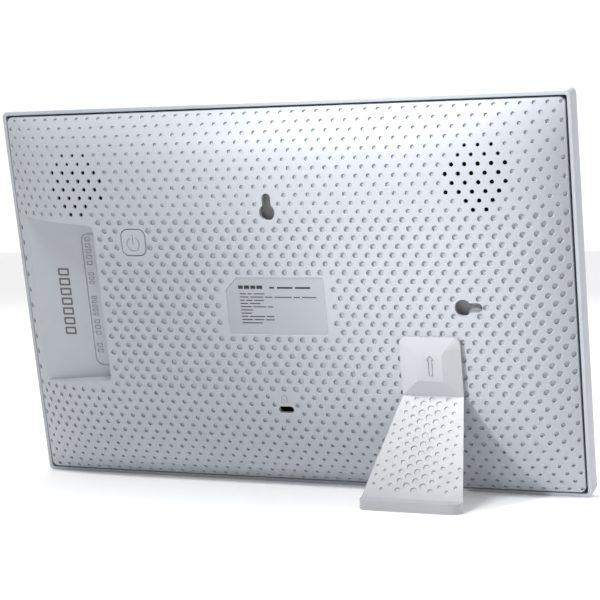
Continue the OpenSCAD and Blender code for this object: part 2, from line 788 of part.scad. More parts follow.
// Low pyramid with a flat crown
module head_crown() {
    mid = (head_z0 + head_z1) / 2;
    hull() {
        deep(head_y - eps, head_y) head_outline();
        block([-crown_w / 2, head_y, mid - crown_w / 2], [crown_w / 2, head_y + crown_h, mid + crown_w / 2]);
    }
}

// Top view of the leg on the table, flaring from the head to the foot and round at the
// toe's rear corners: x across, second value back from the frame's rear rim
module leg_plan() {
    root = head_y * cos(lean) + (frame_h / 2 + head_z0) * sin(lean);
    flare = (foot_w - head_w) / 2 / (foot_reach - root);
    over = 20;
    w0 = head_w / 2 - over * flare;
    w1 = foot_w / 2;
    polygon(rounded([[-w0, root - over], [w0, root - over], [w1, foot_reach], [-w1, foot_reach]],
        [0, 0, foot_r, foot_r]));
}

module leg_slab() {
    long = 80;
    difference() {
        translate([0, head_y, head_z0]) rotate([leg_angle, 0, 0])
            block([-foot_w, -leg_t, -long], [foot_w, 0, 2]);
        block([-foot_w, -long, -long * 2], [foot_w, dome_h + head_gap, 0]);
    }
}

// Low toe that the leg stands on, reaching out behind it and sloping a little to its rear face
module foot_bar() {
    rise = foot_d * tan(foot_slope);
    rotate([90, 0, 90]) linear_extrude(2 * foot_w, center = true) polygon([
        [foot_reach - foot_d, 0], [foot_reach, 0],
        [foot_reach, foot_t], [foot_reach - foot_d, foot_t + rise]]);
}

module stand() color([0.95, 0.95, 0.97]) translate([-stand_x, 0, 0]) difference() {
    union() {
        seat() {
            deep(dome_h + head_gap, head_y) head_outline();
            head_crown();
            block([-hook_w / 2, inner_y - plate_t - 0.3, hook_top - hook_h],
                [hook_w / 2, dome_h + head_gap + eps, hook_top]);
            block([-hook_flange_w / 2, inner_y - plate_t - 1.7, hook_top - hook_h],
                [hook_flange_w / 2, inner_y - plate_t - 0.2, hook_top]);
        }
        intersection() {
            union() {
                seat() leg_slab();
                translate([0, rim_y + shift_y, 0]) foot_bar();
            }
            translate([0, rim_y + shift_y, 0]) linear_extrude(100) leg_plan();
        }
    }
    block([-frame_w, -frame_w, -20], [frame_w, frame_w, 0]);
}

front_bezel();
touch_glass();
glass_tape();
touch_flex();
lcd_cell();
optical_films();
light_guide();
reflector_sheet();
led_strip();
panel_frame();
backlight_tray();
panel_bracket_left();
panel_bracket_right();
panel_screws();
display_flex();
backlight_flex();
back_cover();
keyhole_cup_top();
keyhole_cup_side();
lock_plate();
rating_label();
main_board();
board_screws();
processor();
thermal_pad();
heat_sink();
memory_chips();
storage_chip();
power_coils();
capacitors();
board_connectors();
wifi_module();
wifi_antenna();
antenna_cable();
usb_shell();
usb_tongue();
card_socket();
dc_jack_body();
dc_jack_pin();
reset_switch();
reset_plunger();
power_switch();
power_plunger();
power_button();
speaker_left();
speaker_right();
cone_left();
cone_right();
speaker_gasket_left();
speaker_gasket_right();
speaker_screws();
speaker_cable_left();
speaker_cable_right();
stand_plate();
stand();
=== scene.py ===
import json
import math

import bmesh
import bpy
from mathutils import Matrix, Vector


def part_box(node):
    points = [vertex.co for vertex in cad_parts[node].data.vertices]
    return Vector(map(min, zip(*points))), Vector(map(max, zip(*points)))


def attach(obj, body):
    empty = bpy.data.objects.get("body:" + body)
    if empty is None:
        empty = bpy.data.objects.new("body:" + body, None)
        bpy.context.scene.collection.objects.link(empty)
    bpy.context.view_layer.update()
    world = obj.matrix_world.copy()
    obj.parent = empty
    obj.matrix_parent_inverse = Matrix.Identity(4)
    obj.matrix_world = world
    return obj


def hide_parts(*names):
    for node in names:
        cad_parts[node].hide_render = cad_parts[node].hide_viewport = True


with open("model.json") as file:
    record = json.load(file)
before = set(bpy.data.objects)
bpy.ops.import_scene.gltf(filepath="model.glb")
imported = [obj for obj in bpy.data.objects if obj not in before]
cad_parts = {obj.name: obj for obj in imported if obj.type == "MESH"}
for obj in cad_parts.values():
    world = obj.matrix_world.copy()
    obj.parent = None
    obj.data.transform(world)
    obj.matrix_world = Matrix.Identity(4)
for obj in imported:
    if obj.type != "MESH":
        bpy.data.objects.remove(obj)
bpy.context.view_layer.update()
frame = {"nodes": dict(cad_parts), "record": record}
nodes = frame["nodes"]

# ---------------------------------------------------------------- sizes, in mm, upright
MM = 0.001
FRAME_W, FRAME_H, CORNER_R = 258.0, 169.4, 2.5
COVER_W, COVER_H, DOME, WALL, SKIRT = 253.0, 164.4, 13.9, 2.0, 4.0
DOME_HALF_W, DOME_POWER_X, DOME_HALF_H, DOME_POWER_Z = 127.5, 8.1, 83.2, 6.1
MID_X = -1.35
KEY_TOP_Z, KEY_SIDE_X, KEY_R, KEY_SLOT, KEY_RUN = 40.5, 83.4, 3.5, 2.0, 6.0
LOCK_Z, LOCK_W, LOCK_H = -46.0, 7.0, 3.0
BUTTON_X, BUTTON_Z, BUTTON_W, BUTTON_R, BUTTON_GAP = 63.0, 27.9, 11.4, 3.0, 0.25
POCKET_X, POCKET_IN, POCKET_OUT, POCKET_FLOOR = 82.3, 35.3, 38.2, 5.5
POCKET_SLOPE = (POCKET_OUT - POCKET_IN) / 36
LABEL_W, LABEL_H, LABEL_CUT, LABEL_DEPTH = 45.5, 25.3, 5.5, 0.35
STAND_X, HEAD_Z0, HEAD_Y, CROWN_H = 68.5, -37.2, 15.2, 2.2
LEG_ANGLE = math.radians(49.3)
LATTICE_X, LATTICE_Z = 2.693, 3.667
PIT_SIDES = 14
SPEAKER_X, SPEAKER_Z = 91.6, 53.2
# Chamber radius and the depth below the dome surface that bound the painted shade in the speaker chambers
CHAMBER_R, PAINTED_SHADE_DEPTH = 15.9, 1.05
PORTS = {"reset": 22.2, "usb": 9.5, "card": -7.3, "dc": -22.5}
# Rows of speaker holes: row, how many, shift of the row's middle in half pitches
GRILLE = [(4, 3, 0), (5, 4, 0), (6, 5, 0), (7, 5, -1), (8, 5, 0), (9, 5, -1), (10, 3, 0), (11, 2, 0)]
GRILLE_RIGHT, GRILLE_LEFT = 34.5, 33.5

# ---------------------------------------------------------------- place on the frame
key = next(m for m in frame["record"]["mounts"] if m["name"] == "keyhole_top")
OUT = Vector(key["axis"]).normalized()
ACROSS = Vector((1, 0, 0))
UP = ACROSS.cross(OUT)
ORIGIN = Vector(key["pos_m"]) - (MID_X * ACROSS + (DOME - WALL / 2) * OUT + KEY_TOP_Z * UP) * MM
SEAT = Matrix.Translation(ORIGIN) @ Matrix((ACROSS, OUT, UP)).transposed().to_4x4() @ Matrix.Scale(MM, 4)


def dome_y(x, z):
    return DOME * (1 - (abs(x) / DOME_HALF_W) ** DOME_POWER_X) * (1 - (abs(z) / DOME_HALF_H) ** DOME_POWER_Z)


def dome_normal(x, z):
    e = 0.02
    dx = (dome_y(x + e, z) - dome_y(x - e, z)) / (2 * e)
    dz = (dome_y(x, z + e) - dome_y(x, z - e)) / (2 * e)
    return Vector((-dx, 1, -dz)).normalized()


# ---------------------------------------------------------------- outlines in (x, z)
def arc(cx, cz, r, a0, a1, n):
    return [(cx + r * math.cos(math.radians(a0 + (a1 - a0) * i / n)),
             cz + r * math.sin(math.radians(a0 + (a1 - a0) * i / n))) for i in range(n + 1)]


def moved(points, dx, dz, turn=0):
    c, s = math.cos(math.radians(turn)), math.sin(math.radians(turn))
    return [(dx + x * c - z * s, dz + x * s + z * c) for x, z in points]


def circle(r, n=32):
    return arc(0, 0, r, 0, 360 - 360 / n, n - 1)


def rounded_box(w, h, r, n=8):
    r = max(r, 0.02)
    x, z = w / 2 - r, h / 2 - r
    return (arc(x, z, r, 0, 90, n) + arc(-x, z, r, 90, 180, n)
            + arc(-x, -z, r, 180, 270, n) + arc(x, -z, r, 270, 360, n))


def keyhole(grow=0):
    r, s = KEY_R + grow, KEY_SLOT + grow
    a = math.degrees(math.acos(s / r))
    return arc(0, 0, r, a, -180 - a, 36) + arc(0, KEY_RUN, s, 180, 0, 14)


def round_corners(points, radii, n=6):
    out = []
    for i, (p, r) in enumerate(zip(points, radii)):
        b = Vector(p)
        if r <= 0:
            out.append(tuple(b))
            continue
        u = (Vector(points[i - 1]) - b).normalized()
        v = (Vector(points[(i + 1) % len(points)]) - b).normalized()
        half = u.angle(v) / 2
        o = b + (u + v).normalized() * (r / math.sin(half))
        s, e = b + u * (r / math.tan(half)) - o, b + v * (r / math.tan(half)) - o
        a0 = math.atan2(s.y, s.x)
        turn = (math.atan2(e.y, e.x) - a0 + math.pi) % (2 * math.pi) - math.pi
        out += [(o.x + r * math.cos(a0 + turn * k / n), o.y + r * math.sin(a0 + turn * k / n))
                for k in range(n + 1)]
    return out


def label_outline(inset):
    w, h, c = LABEL_W / 2 - inset, LABEL_H / 2 - inset, LABEL_CUT - 0.4 * inset
    return moved(round_corners([(-w, -h), (w, -h), (w, h - c), (w - c, h), (-w, h)],
                               [1.5, 1.5, 1, 1, 1.5]), MID_X, 0)


def pocket_outline(grow, reach=40.0):
    x0, x1 = POCKET_X - grow, POCKET_X + reach
    lo, hi = POCKET_IN + grow, POCKET_IN + POCKET_SLOPE * reach + grow
    return round_corners([(x0, -lo), (x1, -hi), (x1, hi), (x0, lo)], [2.5, 0, 0, 2.5])


# ---------------------------------------------------------------- solids as lists
class Solids:
    """Closed solids gathered into one mesh, in upright mm."""

    def __init__(self):
        self.verts, self.faces = [], []

    def loft(self, sections):
        """Sections are (outline of (x, z), y), all with the same number of points."""
        base, n = len(self.verts), len(sections[0][0])
        for outline, y in sections:
            self.verts += [(x, y, z) for x, z in outline]
        self._sides(base, n, len(sections))
        return self

    def rings(self, centre, axis, steps, n):
        """A turned solid: steps are (height along axis, radius)."""
        axis = Vector(axis).normalized()
        a = axis.orthogonal().normalized()
        b = axis.cross(a)
        base = len(self.verts)
        for height, r in steps:
            for k in range(n):
                t = 2 * math.pi * k / n
                self.verts.append(tuple(centre + axis * height + (a * math.cos(t) + b * math.sin(t)) * r))
        self._sides(base, n, len(steps))
        return self

    def band(self, outer, inner, y0, y1):
        """A ring with two outlines of as many points."""
        base, n = len(self.verts), len(outer)
        for outline, y in ((outer, y0), (outer, y1), (inner, y1), (inner, y0)):
            self.verts += [(x, y, z) for x, z in outline]
        for s in range(4):
            t = (s + 1) % 4
            self.faces += [(base + s * n + k, base + s * n + (k + 1) % n,
                            base + t * n + (k + 1) % n, base + t * n + k) for k in range(n)]
        return self

    def stroke(self, path, width, y0, y1):
        """An open line of that width, drawn in (x, z)."""
        pts = [Vector(p) for p in path]
        left, right = [], []
        for i, p in enumerate(pts):
            d = (pts[min(i + 1, len(pts) - 1)] - pts[max(i - 1, 0)]).normalized()
            side = Vector((-d.y, d.x)) * (width / 2)
            left.append(tuple(p + side))
            right.append(tuple(p - side))
        return self.loft([(left + right[::-1], y0), (left + right[::-1], y1)])

    def box(self, lo, hi):
        return self.loft([([(lo[0], lo[2]), (hi[0], lo[2]), (hi[0], hi[2]), (lo[0], hi[2])], y)
                          for y in (lo[1], hi[1])])

    def _sides(self, base, n, count):
        self.faces.append(tuple(range(base + n - 1, base - 1, -1)))
        for s in range(count - 1):
            self.faces += [(base + s * n + k, base + s * n + (k + 1) % n,
                            base + (s + 1) * n + (k + 1) % n, base + (s + 1) * n + k) for k in range(n)]
        self.faces.append(tuple(base + (count - 1) * n + k for k in range(n)))

    def mesh(self, name):
        me = bpy.data.meshes.new(name)
        me.from_pydata(self.verts, [], self.faces)
        bm = bmesh.new()
        bm.from_mesh(me)
        bmesh.ops.recalc_face_normals(bm, faces=bm.faces)
        bm.to_mesh(me)
        bm.free()
        return me


def boolean(mesh, cutter, operation="DIFFERENCE"):
    """mesh combined with the solids of cutter, as a new mesh."""
    a = bpy.data.objects.new("work_a", mesh)
    b = bpy.data.objects.new("work_b", cutter if isinstance(cutter, bpy.types.Mesh) else cutter.mesh("cut"))
    for o in (a, b):
        bpy.context.scene.collection.objects.link(o)
    mod = a.modifiers.new("cut", "BOOLEAN")
    mod.operation, mod.solver, mod.object = operation, "MANIFOLD", b
    dg = bpy.context.evaluated_depsgraph_get()
    out = bpy.data.meshes.new_from_object(a.evaluated_get(dg))
    for o in (a, b):
        bpy.data.objects.remove(o)
    if len(out.polygons) == 0:
        raise RuntimeError("a boolean left nothing")
    return out


def show(name, mesh, body, material, angle=30, to_frame=True):
    """Puts a finished mesh on its body with its material."""
    if to_frame:
        mesh.transform(SEAT)
    o = bpy.data.objects.new(name, mesh)
    bpy.context.scene.collection.objects.link(o)
    mesh.materials.clear()
    mesh.materials.append(material)
    mesh.shade_smooth()
    mesh.set_sharp_from_angle(angle=math.radians(angle))
    even = o.modifiers.new("even_shading", "WEIGHTED_NORMAL")
    even.keep_sharp, even.weight = True, 100
    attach(o, body)
    return o


# ---------------------------------------------------------------- materials
def shader(name, **values):
    m = bpy.data.materials.new(name)
    m.use_nodes = True
    tree = m.node_tree
    bsdf = tree.nodes["Principled BSDF"]
    for k, v in values.items():
        bsdf.inputs[k.replace("_", " ")].default_value = v
    coords = tree.nodes.new("ShaderNodeTexCoord")
    return m, tree, bsdf, coords.outputs["Object"]


def noise(tree, coords, scale, detail=4.0, stretch=None):
    if stretch:
        m = tree.nodes.new("ShaderNodeMapping")
        m.inputs["Scale"].default_value = stretch
        tree.links.new(coords, m.inputs["Vector"])
        coords = m.outputs["Vector"]
    n = tree.nodes.new("ShaderNodeTexNoise")
    n.inputs["Scale"].default_value = scale
    n.inputs["Detail"].default_value = detail
    tree.links.new(coords, n.inputs["Vector"])
    return n.outputs["Fac"]


def ramp(tree, fac, stops):
    r = tree.nodes.new("ShaderNodeValToRGB")
    while len(r.color_ramp.elements) < len(stops):
        r.color_ramp.elements.new(0.5)
    for e, (p, c) in zip(r.color_ramp.elements, stops):
        e.position, e.color = p, (*c, 1)
    tree.links.new(fac, r.inputs["Fac"])
    return r.outputs["Color"]


def spread(tree, fac, lo, hi):
    m = tree.nodes.new("ShaderNodeMapRange")
    m.inputs["From Min"].default_value, m.inputs["From Max"].default_value = 0.3, 0.7
    m.inputs["To Min"].default_value, m.inputs["To Max"].default_value = lo, hi
    tree.links.new(fac, m.inputs["Value"])
    return m.outputs["Result"]


def relief(tree, bsdf, height, strength, distance):
    b = tree.nodes.new("ShaderNodeBump")
    b.inputs["Strength"].default_value = strength
    b.inputs["Distance"].default_value = distance
    tree.links.new(height, b.inputs["Height"])
    tree.links.new(b.outputs["Normal"], bsdf.inputs["Normal"])


def tinted(colour, f):
    return tuple(min(1, c * f) for c in colour)


def plastic(name, colour, rough=0.42, grain=2200, depth=0.00006, vary=0.02):
    """Moulded plastic: spark-eroded grain, slight flow marks and uneven gloss."""
    m, t, b, co = shader(name, IOR=1.5)
    flow = noise(t, co, 22, 2)
    t.links.new(ramp(t, flow, [(0.3, tinted(colour, 1 - vary)), (0.7, tinted(colour, 1 + vary))]),
                b.inputs["Base Color"])
    fine = noise(t, co, grain, 6)
    t.links.new(spread(t, noise(t, co, 300, 3), rough - 0.04, rough + 0.05), b.inputs["Roughness"])
    relief(t, b, fine, 0.22, depth)
    return m


def paint_chamber_shade(m):
    """Paints shade into the base colour: near black for what lies deeper than the dimples in the two speaker
    chambers, so the speaker holes read dark.
    """
    t, b = m.node_tree, m.node_tree.nodes["Principled BSDF"]
    place, turn, size = SEAT.inverted().decompose()
    upright = t.nodes.new("ShaderNodeMapping")
    upright.inputs["Location"].default_value = place
    upright.inputs["Rotation"].default_value = turn.to_euler()
    upright.inputs["Scale"].default_value = size
    t.links.new(t.nodes["Texture Coordinate"].outputs["Object"], upright.inputs["Vector"])
    split = t.nodes.new("ShaderNodeSeparateXYZ")
    t.links.new(upright.outputs["Vector"], split.inputs["Vector"])

    def step(operation, first, second):
        n = t.nodes.new("ShaderNodeMath")
        n.operation = operation
        for socket, value in zip(n.inputs, (first, second)):
            if isinstance(value, bpy.types.NodeSocket):
                t.links.new(value, socket)
            else:
                socket.default_value = value
        return n.outputs[0]

    x, z = (step("ABSOLUTE", split.outputs[axis], 0.0) for axis in "XZ")
    across = step("SUBTRACT", 1.0, step("POWER", step("DIVIDE", x, DOME_HALF_W), DOME_POWER_X))
    along = step("SUBTRACT", 1.0, step("POWER", step("DIVIDE", z, DOME_HALF_H), DOME_POWER_Z))
    surface = step("MULTIPLY", step("MULTIPLY", across, along), DOME)
    deep = step("LESS_THAN", split.outputs["Y"], step("SUBTRACT", surface, PAINTED_SHADE_DEPTH))
    dx = step("SUBTRACT", x, SPEAKER_X)
    dz = step("SUBTRACT", split.outputs["Z"], SPEAKER_Z)
    away = step("ADD", step("MULTIPLY", dx, dx), step("MULTIPLY", dz, dz))
    near = step("LESS_THAN", away, CHAMBER_R ** 2)
    mix = t.nodes.new("ShaderNodeMix")
    mix.data_type = "RGBA"
    t.links.new(step("MULTIPLY", near, deep), mix.inputs["Factor"])
    t.links.new(b.inputs["Base Color"].links[0].from_socket, mix.inputs["A"])
    # painted shade: near black inside the speaker chambers, whose plastic is really the same white as the
    # rest
    mix.inputs["B"].default_value = (0.006, 0.006, 0.007, 1)
    t.links.new(mix.outputs["Result"], b.inputs["Base Color"])
    return m


def metal(name, colour, rough=0.3, brushed=(1, 1, 40), grain=90):
    m, t, b, co = shader(name, Metallic=1.0)
    lines = noise(t, co, grain, 8, brushed)
    t.links.new(ramp(t, lines, [(0.3, tinted(colour, 0.88)), (0.7, colour)]), b.inputs["Base Color"])
    t.links.new(spread(t, lines, rough - 0.08, rough + 0.1), b.inputs["Roughness"])
    relief(t, b, lines, 0.12, 0.00004)
    return m


def cells(name, colour, second, scale, rough, edge=0.06):
    """A surface laid out in cells: board traces, light guide dots, spangle."""
    m, t, b, co = shader(name)
    v = t.nodes.new("ShaderNodeTexVoronoi")
    v.feature, v.distance = "DISTANCE_TO_EDGE", "CHEBYCHEV"
    v.inputs["Scale"].default_value = scale
    t.links.new(co, v.inputs["Vector"])
    t.links.new(ramp(t, v.outputs["Distance"], [(edge, second), (edge * 2, colour)]), b.inputs["Base Color"])
    t.links.new(spread(t, noise(t, co, 500), rough - 0.05, rough + 0.08), b.inputs["Roughness"])
    relief(t, b, v.outputs["Distance"], 0.3, 0.00008)
    return m


def stripes(name, colour, second, scale, rough, turn=(0, 0, 0)):
    m, t, b, co = shader(name)
    mp = t.nodes.new("ShaderNodeMapping")
    mp.inputs["Rotation"].default_value = turn
    t.links.new(co, mp.inputs["Vector"])
    w = t.nodes.new("ShaderNodeTexWave")
    w.inputs["Scale"].default_value = scale
    w.inputs["Distortion"].default_value = 0.2
    t.links.new(mp.outputs["Vector"], w.inputs["Vector"])
    t.links.new(ramp(t, w.outputs["Fac"], [(0.35, second), (0.6, colour)]), b.inputs["Base Color"])
    t.links.new(spread(t, noise(t, co, 400), rough - 0.05, rough + 0.06), b.inputs["Roughness"])
    relief(t, b, w.outputs["Fac"], 0.25, 0.00005)
    return m


def glass(name, active, border):
    """Cover glass printed black round the picture, seen unlit."""
    m, t, b, co = shader(name, Coat_Weight=0.2, Coat_Roughness=0.03, IOR=1.52)
    sep = t.nodes.new("ShaderNodeSeparateXYZ")
    t.links.new(co, sep.inputs["Vector"])
    parts = []
    for axis, mid, half in (("X", 0.0, 0.1085), ("Z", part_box("touch_glass")[0][2] / 2
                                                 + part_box("touch_glass")[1][2] / 2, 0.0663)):
        s = t.nodes.new("ShaderNodeMath")
        s.operation = "SUBTRACT"
        s.inputs[1].default_value = mid
        t.links.new(sep.outputs[axis], s.inputs[0])
        a = t.nodes.new("ShaderNodeMath")
        a.operation = "ABSOLUTE"
        t.links.new(s.outputs[0], a.inputs[0])
        g = t.nodes.new("ShaderNodeMath")
        g.operation = "LESS_THAN"
        g.inputs[1].default_value = half
        t.links.new(a.outputs[0], g.inputs[0])
        parts.append(g.outputs[0])
    inside = t.nodes.new("ShaderNodeMath")
    inside.operation = "MULTIPLY"
    t.links.new(parts[0], inside.inputs[0])
    t.links.new(parts[1], inside.inputs[1])
    t.links.new(ramp(t, inside.outputs[0], [(0.0, border), (1.0, active)]), b.inputs["Base Color"])
    t.links.new(spread(t, noise(t, co, 9, 3), 0.04, 0.09), b.inputs["Roughness"])
    relief(t, b, noise(t, co, 14, 1), 0.03, 0.00002)
    return m


WHITE = (0.475, 0.499, 0.547)
# The housing material carries painted shade inside the speaker chambers
housing = paint_chamber_shade(plastic("housing", WHITE, 0.45))
stand_mat = plastic("stand", (0.485, 0.5, 0.53), 0.4)
print_mat = plastic("print", (0.03, 0.03, 0.035), 0.6, vary=0.15)
floor_print_mat = plastic("floor_print", (0.13, 0.12, 0.125), 0.5, vary=0.1)
MATERIALS = {
    "housing_white": housing,
    "stand_white": stand_mat,
    "cover_glass": glass("cover_glass", (0.016, 0.018, 0.022), (0.006, 0.006, 0.007)),
    "tape_black": plastic("tape", (0.02, 0.02, 0.02), 0.85, 900, 0.0002),
    "flex_amber": stripes("flex", (0.52, 0.26, 0.05), (0.36, 0.16, 0.03), 260, 0.35),
    "panel_dark": plastic("panel", (0.02, 0.022, 0.028), 0.12, 4000, 0.00001),
    "film_white": plastic("film", (0.82, 0.84, 0.86), 0.6, 5000, 0.00002),
    "guide_clear": cells("guide", (0.66, 0.74, 0.8), (0.9, 0.93, 0.95), 500, 0.15),
    "led_yellow": plastic("led", (0.85, 0.74, 0.3), 0.35),
    "panel_frame_white": plastic("panel_frame", (0.83, 0.83, 0.8), 0.5),
    "sheet_steel": metal("sheet_steel", (0.66, 0.67, 0.69), 0.36),
    "screw_steel": metal("screw_steel", (0.58, 0.58, 0.6), 0.25, (1, 1, 1), 600),
    "cup_grey": plastic("cup", (0.4, 0.41, 0.43), 0.6),
    "label_grey": plastic("label", (0.41, 0.435, 0.48), 0.5, 3500, 0.00002),
    "board_green": cells("board", (0.02, 0.13, 0.05), (0.05, 0.24, 0.1), 420, 0.35),
    "chip_black": plastic("chip", (0.022, 0.022, 0.024), 0.55, 3000),
    "pad_blue": plastic("pad", (0.36, 0.45, 0.62), 0.8, 700, 0.0002),
    "sink_black": metal("sink", (0.07, 0.07, 0.075), 0.45),
    "coil_grey": plastic("coil", (0.12, 0.12, 0.13), 0.7, 1200, 0.0002),
    "can_silver": metal("can", (0.72, 0.73, 0.74), 0.3, (1, 1, 12)),
    "connector_ivory": plastic("connector", (0.76, 0.72, 0.58), 0.45),
    "shield_steel": metal("shield", (0.72, 0.73, 0.75), 0.28),
    "antenna_black": stripes("antenna", (0.03, 0.03, 0.03), (0.3, 0.18, 0.06), 90, 0.5),
    "cable_black": plastic("cable_black", (0.03, 0.03, 0.033), 0.5),
    "jack_black": plastic("jack", (0.025, 0.025, 0.027), 0.5),
    "contact_nickel": metal("contact", (0.8, 0.78, 0.73), 0.15, (1, 1, 1), 500),
    "speaker_black": plastic("speaker", (0.03, 0.03, 0.033), 0.6),
    "cone_black": stripes("cone", (0.02, 0.02, 0.022), (0.035, 0.035, 0.037), 700, 0.8),
    "gasket_black": plastic("gasket", (0.025, 0.025, 0.025), 0.9, 900, 0.0003),
    "cable_red": plastic("cable_red", (0.42, 0.02, 0.02), 0.45),
}
for part in frame["record"]["subparts"]:
    me = nodes[part["node"]].data
    me.materials.clear()
    me.materials.append(MATERIALS[part["material_slot"]])


# ---------------------------------------------------------------- cover shell
def stations(half):
    """Places from edge to edge, close together near the edges."""
    steps = [0, 0.1, 0.35, 0.7, 1.1, 1.6, 2.2, 3, 4, 5.2, 6.6, 8.2, 10, 12.2, 15, 18.2, 22, 26.5,
             31.5, 37, 43.5]
    middle_step = 7.5
    side = [half - s for s in steps]
    x = side[-1] - middle_step
    while x > 1:
        side.append(x)
        x -= middle_step
    return sorted([-v for v in side] + [0.0] + side)


def height_solid(w, h, r, top, floor_y):
    """Closed solid over a rounded rectangle, its top at top(x, z)."""
    s = Solids()
    us, vs = stations(w / 2), stations(h / 2)
    nu, nv = len(us), len(vs)
    for z in vs:
        drop = max(0.0, abs(z) - (h / 2 - r))
        reach = w / 2 - r + math.sqrt(max(0.0, r * r - drop * drop))
        for u in us:
            x = u * reach / (w / 2)
            s.verts.append((x, top(x, z), z))
    s.faces = [(j * nu + i, j * nu + i + 1, (j + 1) * nu + i + 1, (j + 1) * nu + i)
               for j in range(nv - 1) for i in range(nu - 1)]
    loop = ([i for i in range(nu)] + [j * nu + nu - 1 for j in range(1, nv)]
            + [(nv - 1) * nu + i for i in range(nu - 2, -1, -1)] + [j * nu for j in range(nv - 2, 0, -1)])
    base = len(s.verts)
    s.verts += [(s.verts[k][0], floor_y, s.verts[k][2]) for k in loop]
    n = len(loop)
    s.faces += [(loop[k], loop[(k + 1) % n], base + (k + 1) % n, base + k) for k in range(n)]
    s.faces.append(tuple(base + k for k in range(n)))
    return s.mesh("solid")


outer = height_solid(COVER_W, COVER_H, CORNER_R, dome_y, -SKIRT)
inner = height_solid(COVER_W - 3.2, COVER_H - 3.2, 1.2, lambda x, z: dome_y(x, z) - WALL, -SKIRT - 1)
inside = Solids()
inside.loft([(pocket_outline(WALL), POCKET_FLOOR - WALL), (pocket_outline(WALL), 30)])
for bx in (6.0, 74.4):
    for bz in (-30.5, 30.5):
        inside.rings(Vector((bx, 6.0, bz)), (0, 1, 0), [(0, 2.8), (20, 2.8)], 24)
for side in (-1, 1):
    inside.band(moved(circle(18.6, 48), side * SPEAKER_X, SPEAKER_Z),
                moved(circle(15.2, 48), side * SPEAKER_X, SPEAKER_Z), 1.2, 30)
inner = boolean(inner, inside)
cover = boolean(outer, inner)

cover = boolean(cover, Solids().loft([(pocket_outline(0), POCKET_FLOOR), (pocket_outline(0), DOME - 0.35),
                                      (pocket_outline(0.35), DOME), (pocket_outline(0.6), 30)]))

# Openings; a keyhole, the lock slot and the button each have a fine chamfer at the mouth
CHAMFER, BUTTON_CHAMFER = 0.25, 0.4


def mouth(solids, outline, low, chamfer=CHAMFER):
    """outline(grow) cut from low up through the skin, opening out at the surface."""
    solids.loft([(outline(0), low), (outline(0), DOME - chamfer), (outline(chamfer), DOME),
                 (outline(chamfer * 2), DOME + chamfer)])


def lock_outline(grow):
    return moved(rounded_box(LOCK_W + 2 * grow, LOCK_H + 2 * grow, LOCK_H / 2 + grow), MID_X, LOCK_Z)


def button_outline(grow):
    w = BUTTON_W + 2 * (BUTTON_GAP + grow)
    return moved(rounded_box(w, w, BUTTON_R + BUTTON_GAP + grow), BUTTON_X, BUTTON_Z)


openings = Solids()
mouth(openings, lambda g: moved(keyhole(g), MID_X, KEY_TOP_Z), 5)
mouth(openings, lambda g: moved(keyhole(g), -KEY_SIDE_X, 0, 90), 5)
mouth(openings, lock_outline, 5)
mouth(openings, button_outline, 9, BUTTON_CHAMFER)
openings.loft([(label_outline(0.35), DOME - LABEL_DEPTH), (label_outline(0), DOME),
               (label_outline(-0.35), DOME + 0.35)])
wall_in = POCKET_X - WALL
openings.box((wall_in - 1, 5.9, PORTS["usb"] - 6.85), (POCKET_X + 1, 11.95, PORTS["usb"] + 6.85))
openings.box((wall_in - 1, 6.3, PORTS["card"] - 6.2), (POCKET_X + 1, 8.1, PORTS["card"] + 6.2))
openings.rings(Vector((wall_in - 1, 9.0, PORTS["dc"])), (1, 0, 0), [(0, 3.1), (4, 3.1)], 32)
openings.rings(Vector((wall_in - 1, 8.1, PORTS["reset"])), (1, 0, 0), [(0, 0.9), (4, 0.9)], 20)
openings.box((-STAND_X - 6.8, 9, -34.6), (-STAND_X + 6.8, 20, -24.6))
cover = boolean(cover, openings)
# The hook window is two boxes that meet, so the upper one is cut by itself
cover = boolean(cover, Solids().box((-STAND_X - 4.2, 9, -25), (-STAND_X + 4.2, 20, -15.2)))


# ---------------------------------------------------------------- dimples and speaker holes
def in_keyhole(x, z, margin):
    if math.hypot(x, z) < KEY_R + margin:
        return True
    return math.hypot(x, z - min(max(z, 0), KEY_RUN)) < KEY_SLOT + margin


def left_plain(x, z, row, c):
    """True where the lattice carries no dimple."""
    if in_keyhole(x - MID_X, z - KEY_TOP_Z, 1.4) or in_keyhole(z, -(x + KEY_SIDE_X), 1.4):
        return True
    dx = abs(x - MID_X)
    if (row in (33, 35) and dx < 3) or (row == 34 and dx < 1):
        return True
    if abs(x - BUTTON_X) < 6.9 and abs(z - BUTTON_Z) < 7:
        return True
    w, h = LABEL_W / 2 + 1.7, LABEL_H / 2 + 1.7
    if dx < w and abs(z) < h and (x - MID_X) + z < w + h - LABEL_CUT - 0.7:
        return True
    if x > POCKET_X - 1.6 and c > -46 and abs(z) < POCKET_IN + POCKET_SLOPE * (x - POCKET_X) + 1.6:
        return True
    return abs(x + STAND_X) < 8.6 and -36.5 < z < -13.4


def dimple(row):
    """Radius and depth of the dimples in a row, which get finer towards top and bottom."""
    if row < 6:
        return 0.9, 0.7
    if row < 12:
        return 1.02, 0.75
    if row < 33:
        return 1.35, 0.9
    return (1.08, 0.95) if row < 39 else (0.85, 1.0)


def grille_row(mid, count, shift):
    return [mid + shift + 2 * k - count + 1 for k in range(count)]


holes = {(r, -c) for r, n, s in GRILLE for c in grille_row(GRILLE_LEFT, n, s)}
holes |= {(r, c) for r, n, s in GRILLE for c in grille_row(GRILLE_RIGHT, n, s)}

